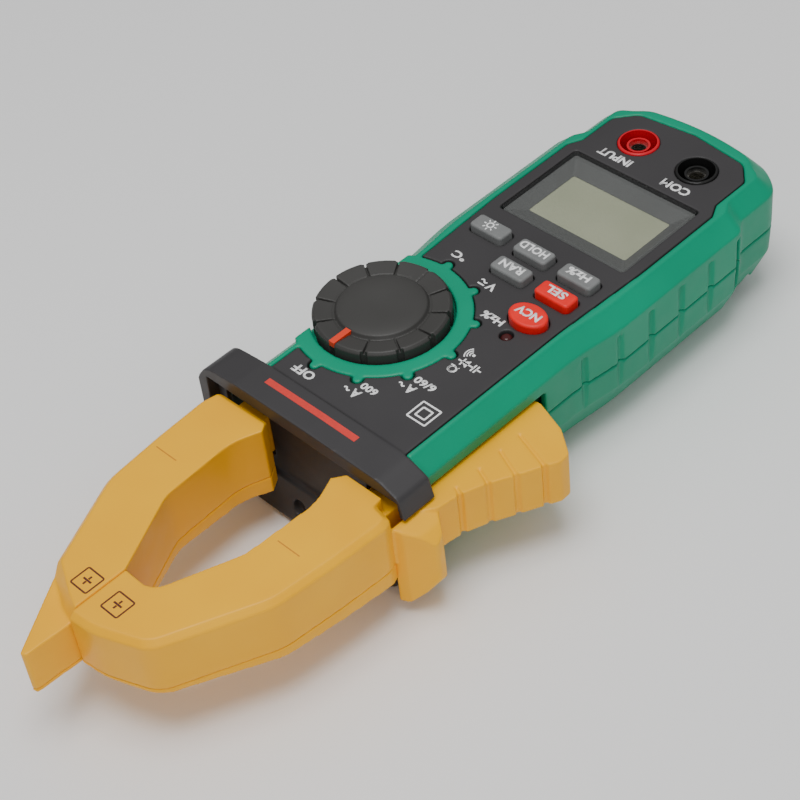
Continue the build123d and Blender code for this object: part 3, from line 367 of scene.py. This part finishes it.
MATERIALS = {
    "case_green": moulded_plastic("case_green", (0.0, 0.29, 0.155), 0.42, 0.22, wear=0.1),
    "case_rear_green": moulded_plastic("case_rear_green", (0.0, 0.27, 0.145), 0.44, 0.3, wear=0.1),
    "plate_grey": moulded_plastic("plate_grey", (0.047, 0.045, 0.047), 0.46, 0.35, wear=0.4),
    "guard_black": moulded_plastic("guard_black", (0.036, 0.033, 0.033), 0.48, 0.35, wear=0.4),
    "jaw_yellow": moulded_plastic("jaw_yellow", (1.0, 0.47, 0.0), 0.40, 0.16, wear=0.1),
    "frame_grey": moulded_plastic("frame_grey", (0.105, 0.105, 0.107), 0.38, 0.08),
    "knob_grey": moulded_plastic("knob_grey", (0.05, 0.049, 0.047), 0.44, 0.3, wear=0.45),
    "pointer_red": moulded_plastic("pointer_red", (0.80, 0.055, 0.02), 0.4, 0.2),
    "button_grey": rubber("button_grey", (0.185, 0.19, 0.19)),
    "button_red": rubber("button_red", (0.90, 0.006, 0.004), 0.48),
    "keypad_rubber": rubber("keypad_rubber", (0.24, 0.24, 0.25)),
    "strip_rubber": rubber("strip_rubber", (0.35, 0.12, 0.1)),
    "socket_red": moulded_plastic("socket_red", (0.62, 0.008, 0.02), 0.3, 0.1),
    "socket_black": moulded_plastic("socket_black", (0.012, 0.012, 0.012), 0.3, 0.1),
    "lens_clear": clear_window(),
    "lcd": liquid_crystal(),
    "diffuser_white": moulded_plastic("diffuser_white", (0.82, 0.82, 0.78), 0.35, 0.1),
    "board_green": moulded_plastic("board_green", (0.02, 0.13, 0.05), 0.3, 0.1),
    "chip_black": moulded_plastic("chip_black", (0.02, 0.02, 0.02), 0.45, 0.3),
    "thermistor_green": moulded_plastic("thermistor_green", (0.05, 0.22, 0.1), 0.35, 0.2),
    "buzzer_black": moulded_plastic("buzzer_black", (0.02, 0.02, 0.02), 0.4, 0.2),
    "lamp_red": moulded_plastic("lamp_red", (0.06, 0.012, 0.012), 0.18, 0.05),
    "rotor_plastic": moulded_plastic("rotor_plastic", (0.55, 0.53, 0.47), 0.45, 0.2),
    "bobbin_plastic": moulded_plastic("bobbin_plastic", (0.7, 0.68, 0.62), 0.45, 0.2),
    "gear_plastic": moulded_plastic("gear_plastic", (0.75, 0.73, 0.66), 0.4, 0.15),
    "cell_steel": moulded_plastic("cell_steel", (0.05, 0.05, 0.055), 0.25, 0.05),
    "sleeve_metal": metal("sleeve_metal", (0.72, 0.7, 0.64), 0.25),
    "spring_steel": metal("spring_steel", (0.6, 0.6, 0.6), 0.28),
    "contact_metal": metal("contact_metal", (0.72, 0.7, 0.64), 0.3),
    "screw_steel": metal("screw_steel", (0.5, 0.5, 0.5), 0.32),
    "pin_steel": metal("pin_steel", (0.55, 0.55, 0.56), 0.22),
    "core_steel": metal("core_steel", (0.36, 0.37, 0.39), 0.4),
    "winding_copper": metal("winding_copper", (0.72, 0.3, 0.13), 0.3, (1, 18, 1)),
}
WHITE_INK = print_and_shade_paint("white_ink", (0.97, 0.97, 0.97))
RED_INK = print_and_shade_paint("red_ink", (0.72, 0.04, 0.03))
DARK_INK = print_and_shade_paint("dark_ink", (0.09, 0.012, 0.01))
# painted shade: a darker orange line where the engraved tick on each jaw arm sits in shade, not
# ink
GROOVE_SHADE_PAINT = print_and_shade_paint("painted_groove_shade", (0.62, 0.22, 0.005))


# ------------------------------------------------------------ pieces
def paint_nodes():
    """Material of each CAD node."""
    for name, obj in nodes.items():
        obj.data.materials.clear()
        obj.data.materials.append(MATERIALS[slots[name]])


# CAD nodes shown by a rounded copy: voxel size (mm) and rounds of smoothing
MOULDED = {
    "hook_jaw": (0.32, 6),
    "trigger_jaw": (0.32, 6),
    "hook_jaw_cover": (0.32, 3),
    "trigger_jaw_cover": (0.32, 3),
    "face_plate": (0.30, 3),
    "lower_guard": (0.32, 4),
    "front_case": (0.36, 3),
    "rear_case": (0.36, 3),
    "dial_knob": (0.20, 2),
}
FACES_KEPT = 0.3
# ranges of x, y and z (mm) that close a slit in the face where the hook meets the other jaw
HOOK_TIP_FILL = ((3.6, 4.8), (128.0, 130.2), (17.5, 31.2))


def add_block(mesh, ranges):
    """Adds a block to a mesh; the voxel grid then joins the two."""
    middle = Vector([(low + high) / 2 * MM for low, high in ranges])
    sides = [(high - low) * MM for low, high in ranges]
    bm = bmesh.new()
    bm.from_mesh(mesh)
    place = Matrix.Translation(middle) @ Matrix.Diagonal((*sides, 1.0))
    bmesh.ops.create_cube(bm, size=1.0, matrix=place)
    bm.to_mesh(mesh)
    bm.free()


def moulded(node, voxel, passes):
    """Stands for a CAD node: the same shape, with every edge rounded as a moulding has it."""
    source = nodes[node]
    rough = bpy.data.objects.new("rough", source.data.copy())
    bpy.context.scene.collection.objects.link(rough)
    if node == "hook_jaw":
        add_block(rough.data, HOOK_TIP_FILL)
    remesh = rough.modifiers.new("grid", "REMESH")
    remesh.mode = "VOXEL"
    remesh.voxel_size = voxel * MM
    smooth = rough.modifiers.new("round", "SMOOTH")
    smooth.factor = 0.5
    smooth.iterations = passes
    thin = rough.modifiers.new("thin", "DECIMATE")
    thin.ratio = FACES_KEPT
    depsgraph = bpy.context.evaluated_depsgraph_get()
    mesh = bpy.data.meshes.new_from_object(rough.evaluated_get(depsgraph))
    bpy.data.objects.remove(rough)
    mesh.materials.clear()
    for polygon in mesh.polygons:
        polygon.use_smooth = True
    mesh.materials.append(MATERIALS[slots[node]])
    piece = bpy.data.objects.new(node + "_moulding", mesh)
    bpy.context.scene.collection.objects.link(piece)
    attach(piece, body_names[node])
    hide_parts(node)


# ------------------------------------------------------------ printed marks, and painted shade for the engraved jaw ticks
# sizes on the part are in mm, and heights (z) and the thickness of the marks in metres
MARK_THICKNESS = 0.03 * MM
BOLD_STROKE = 0.5
SQUARE_STROKE = 0.45
STROKE = 0.42
SUN_STROKE = 0.36
THIN_STROKE = 0.34
SOUND_STROKE = 0.32
TICK_STROKE = 0.3
STRIPE_WIDTH = 1.8
GLYPH_WEIGHT = 0.034


def strip_faces(bm, points, width, z, closed=False):
    """Flat ribbon of colour along a polyline (mm), as a thin closed solid standing on z (m):
    print, and on the jaw ticks painted groove shade.
    """
    points = [Vector((x, y)) for x, y in points]
    count = len(points)
    sides = []
    for i, point in enumerate(points):
        before = points[i - 1] if closed or i else point
        after = points[(i + 1) % count] if closed or i < count - 1 else point
        incoming = (point - before).normalized() if (point - before).length else None
        outgoing = (after - point).normalized() if (after - point).length else None
        incoming = incoming or outgoing
        outgoing = outgoing or incoming
        tangent = (incoming + outgoing).normalized()
        normal = Vector((-tangent.y, tangent.x))
        reach = width / 2 / max(0.5, abs(normal.dot(Vector((-incoming.y, incoming.x)))))
        sides.append((point + normal * reach, point - normal * reach))
    rows = []
    for left, right in sides:
        rows.append(
            [
                bm.verts.new((left.x * MM, left.y * MM, z + MARK_THICKNESS)),
                bm.verts.new((right.x * MM, right.y * MM, z + MARK_THICKNESS)),
                bm.verts.new((right.x * MM, right.y * MM, z)),
                bm.verts.new((left.x * MM, left.y * MM, z)),
            ]
        )
    for i in range(count if closed else count - 1):
        a = rows[i]
        b = rows[(i + 1) % count]
        for k in range(4):
            bm.faces.new((a[k], b[k], b[(k + 1) % 4], a[(k + 1) % 4]))
    if not closed:
        bm.faces.new(rows[0])
        bm.faces.new(list(reversed(rows[-1])))


def disc_faces(bm, x, y, radius, z, corners=24):
    """Filled round dot of ink, as a thin closed solid."""
    rings = []
    for level in (z + MARK_THICKNESS, z):
        ring = []
        for k in range(corners):
            turn = 2 * math.pi * k / corners
            ring.append(
                bm.verts.new(
                    ((x + radius * math.cos(turn)) * MM, (y + radius * math.sin(turn)) * MM, level)
                )
            )
        rings.append(ring)
    bm.faces.new(rings[0])
    bm.faces.new(list(reversed(rings[1])))
    for k in range(corners):
        n = (k + 1) % corners
        bm.faces.new((rings[1][k], rings[1][n], rings[0][n], rings[0][k]))


def arc(x, y, radius, start, end, steps=14):
    """Points of an arc, angles in degrees."""
    points = []
    for k in range(steps + 1):
        turn = math.radians(start + (end - start) * k / steps)
        points.append((x + radius * math.cos(turn), y + radius * math.sin(turn)))
    return points


def wave(x, y, length):
    """Points of one period of the alternating-current sign."""
    points = []
    for k in range(13):
        points.append((x + length * k / 12, y + 0.38 * math.sin(2 * math.pi * k / 12)))
    return points


def rounded_square(x, y, side, corner):
    half = side / 2 - corner
    points = []
    for k, (sx, sy) in enumerate(((1, 1), (-1, 1), (-1, -1), (1, -1))):
        points += arc(x + sx * half, y + sy * half, corner, 90 * k, 90 * k + 90, 4)
    return points


def add_text(bm, words, x, y, height, width, z):
    """Bold generic lettering, fitted to a width and height (mm) about its centre."""
    data = bpy.data.curves.new("words", "FONT")
    data.body = words
    data.size = 1.0
    data.offset = GLYPH_WEIGHT
    data.resolution_u = 3
    data.fill_mode = "FRONT"
    obj = bpy.data.objects.new("words", data)
    bpy.context.scene.collection.objects.link(obj)
    bpy.context.view_layer.update()
    flat = bpy.data.meshes.new_from_object(obj)
    bpy.data.objects.remove(obj)
    xs = [v.co.x for v in flat.vertices]
    ys = [v.co.y for v in flat.vertices]
    mid = Vector(((min(xs) + max(xs)) / 2, (min(ys) + max(ys)) / 2, 0))
    scale_x = width / (max(xs) - min(xs))
    scale_y = height / (max(ys) - min(ys))
    glyphs = bmesh.new()
    glyphs.from_mesh(flat)
    bmesh.ops.remove_doubles(glyphs, verts=glyphs.verts, dist=1e-5)
    for vert in glyphs.verts:
        place = vert.co - mid
        vert.co = Vector(((x + place.x * scale_x) * MM, (y + place.y * scale_y) * MM, z))
    made = bmesh.ops.extrude_face_region(glyphs, geom=list(glyphs.faces))
    lifted = [g for g in made["geom"] if isinstance(g, bmesh.types.BMVert)]
    bmesh.ops.translate(glyphs, verts=lifted, vec=(0, 0, MARK_THICKNESS))
    bmesh.ops.recalc_face_normals(glyphs, faces=list(glyphs.faces))
    part = bpy.data.meshes.new("glyphs")
    glyphs.to_mesh(part)
    glyphs.free()
    bm.from_mesh(part)
    bpy.data.meshes.remove(part)
    bpy.data.meshes.remove(flat)


def lay_on(bm, surface):
    """Drops each level of a flat mark onto the surface below it."""
    tree = BVHTree.FromPolygons(
        [v.co for v in surface.data.vertices],
        [p.vertices for p in surface.data.polygons],
    )
    base = min(v.co.z for v in bm.verts)
    for vert in bm.verts:
        above = Vector((vert.co.x, vert.co.y, cad_high.z + 0.01))
        hit = tree.ray_cast(above, Vector((0, 0, -1)))[0]
        vert.co.z = hit.z + vert.co.z - base


def finish_marks(name, bm, body, material):
    """Turns the marks in bm (print, and the painted groove shade of the jaw ticks) into a piece
    that rides on a body.
    """
    bmesh.ops.recalc_face_normals(bm, faces=list(bm.faces))
    mesh = bpy.data.meshes.new(name)
    bm.to_mesh(mesh)
    bm.free()
    obj = bpy.data.objects.new(name, mesh)
    bpy.context.scene.collection.objects.link(obj)
    mesh.materials.append(material)
    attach(obj, body)


def print_plate():
    """White function marks round the dial and by the sockets."""
    bm = bmesh.new()
    z = PLATE_Z
    for words, x, y, height, width in (
        ("OFF", 14.9, 61.6, 2.7, 6.6),
        ("A", 0.3, 59.0, 2.7, 2.5),
        ("600", -1.2, 55.9, 2.2, 4.8),
        ("A", -8.6, 49.9, 2.7, 2.5),
        ("6/60", -10.1, 46.5, 2.3, 6.2),
        ("\u03a9", -11.4, 38.7, 2.5, 2.6),
        ("Hz%", -6.9, 20.1, 2.4, 6.6),
        ("V", 0.9, 12.1, 2.7, 2.6),
        ("\u00b0C", 14.9, 8.6, 2.6, 4.2),
        ("COM", -9.6, -44.7, 2.9, 8.6),
        ("INPUT", 10.4, -44.9, 2.8, 10.4),
    ):
        add_text(bm, words, x, y, height, width, z)
    strip_faces(bm, wave(2.1, 59.0, 1.8), STROKE, z)
    strip_faces(bm, wave(-6.8, 49.9, 1.8), STROKE, z)
    strip_faces(bm, [(2.7, 12.9), (4.7, 12.9)], STROKE, z)
    strip_faces(bm, wave(2.7, 11.6, 2.0), STROKE, z)
    print_component_marks(bm, z)
    for side in (5.6, 2.9):
        strip_faces(bm, rounded_square(-16.6, 53.5, side, 0.2), SQUARE_STROKE, z, closed=True)
    finish_marks("plate_marks", bm, "case", WHITE_INK)


def print_stripe():
    """Red stripe along the top of the guard."""
    bm = bmesh.new()
    strip_faces(bm, [(x, 69.4) for x in range(-11, 20)], STRIPE_WIDTH, PLATE_Z)
    lay_on(bm, nodes["face_plate"])
    finish_marks("plate_stripe", bm, "case", RED_INK)


def print_component_marks(bm, z):
    """Capacitor, diode and sounder symbols beside the dial."""
    y = 35.5
    strip_faces(bm, [(-17.4, y), (-16.0, y)], STROKE, z)
    strip_faces(bm, [(-16.0, y - 1.2), (-16.0, y + 1.2)], STROKE, z)
    strip_faces(bm, [(-15.1, y - 1.2), (-15.1, y + 1.2)], STROKE, z)
    strip_faces(bm, [(-15.1, y), (-10.4, y)], STROKE, z)
    for k in range(5):
        reach = 1.2 * (1 - k / 5)
        x = -13.4 + 1.6 * (k + 0.5) / 5
        strip_faces(bm, [(x, y - reach), (x, y + reach)], THIN_STROKE, z)
    strip_faces(bm, [(-11.7, y - 1.2), (-11.7, y + 1.2)], STROKE, z)
    disc_faces(bm, -12.3, 32.4, 0.42, z)
    for radius in (0.95, 1.6, 2.25):
        strip_faces(bm, arc(-12.3, 32.4, radius, -48, 48, 10), SOUND_STROKE, z)


def print_keys():
    """White function names on the keys, each riding on its own key."""
    for body, node, words, x, y, height, width in (
        ("voltage_sense_key", "voltage_sense_button", "NCV", -13.9, 15.1, 2.7, 7.1),
        ("select_key", "select_button", "SEL", -14.0, 5.3, 2.6, 6.1),
        ("range_key", "range_button", "RAN", 0.4, 5.2, 2.6, 7.1),
        ("frequency_key", "frequency_button", "Hz%", -14.0, -2.8, 2.5, 6.9),
        ("hold_key", "hold_button", "HOLD", 0.5, -3.0, 2.6, 8.7),
    ):
        bm = bmesh.new()
        add_text(bm, words, x, y, height, width, top_of(node))
        finish_marks(node + "_mark", bm, body, WHITE_INK)
    bm = bmesh.new()
    sun_x = 15.2
    sun_y = -3.1
    z = top_of("backlight_button")
    strip_faces(bm, arc(sun_x, sun_y, 0.85, 0, 345, 23), SUN_STROKE, z, closed=True)
    for k in range(8):
        turn = math.radians(45 * k)
        inner = (sun_x + 1.3 * math.cos(turn), sun_y + 1.3 * math.sin(turn))
        outer = (sun_x + 2.0 * math.cos(turn), sun_y + 2.0 * math.sin(turn))
        strip_faces(bm, [inner, outer], THIN_STROKE, z)
    finish_marks("backlight_button_mark", bm, "backlight_key", WHITE_INK)


def print_jaws():
    """Square placement marks near the jaw tips, and a darker orange line of painted shade where an
    engraved tick crosses each arm.
    """
    for body, name, x in (
        ("trigger_arm", "trigger_jaw_mark", -3.0),
        ("hook_arm", "hook_jaw_mark", 7.45),
    ):
        bm = bmesh.new()
        y = 134.0
        strip_faces(bm, rounded_square(x, y, 5.3, 0.4), STROKE, JAW_TOP_Z, closed=True)
        strip_faces(bm, [(x - 1.3, y), (x + 1.3, y)], BOLD_STROKE, JAW_TOP_Z)
        strip_faces(bm, [(x, y + 0.35), (x, y + 1.3)], BOLD_STROKE, JAW_TOP_Z)
        strip_faces(bm, [(x, y - 1.3), (x, y - 0.35)], BOLD_STROKE, JAW_TOP_Z)
        finish_marks(name, bm, body, DARK_INK)
    for body, name, x, y in (
        ("trigger_arm", "trigger_jaw_tick", -19.6, 99.3),
        ("hook_arm", "hook_jaw_tick", 23.3, 97.9),
    ):
        # each tick is painted shade: a darker orange line standing for the shade of the engraved
        # groove
        bm = bmesh.new()
        strip_faces(bm, [(x - 3.5, y), (x + 3.5, y)], TICK_STROKE, JAW_TOP_Z)
        finish_marks(name, bm, body, GROOVE_SHADE_PAINT)


make_camera()
make_studio()
make_floor()
paint_nodes()
for node_name, (grid, rounds) in MOULDED.items():
    moulded(node_name, grid, rounds)
print_plate()
print_stripe()
print_keys()
print_jaws()
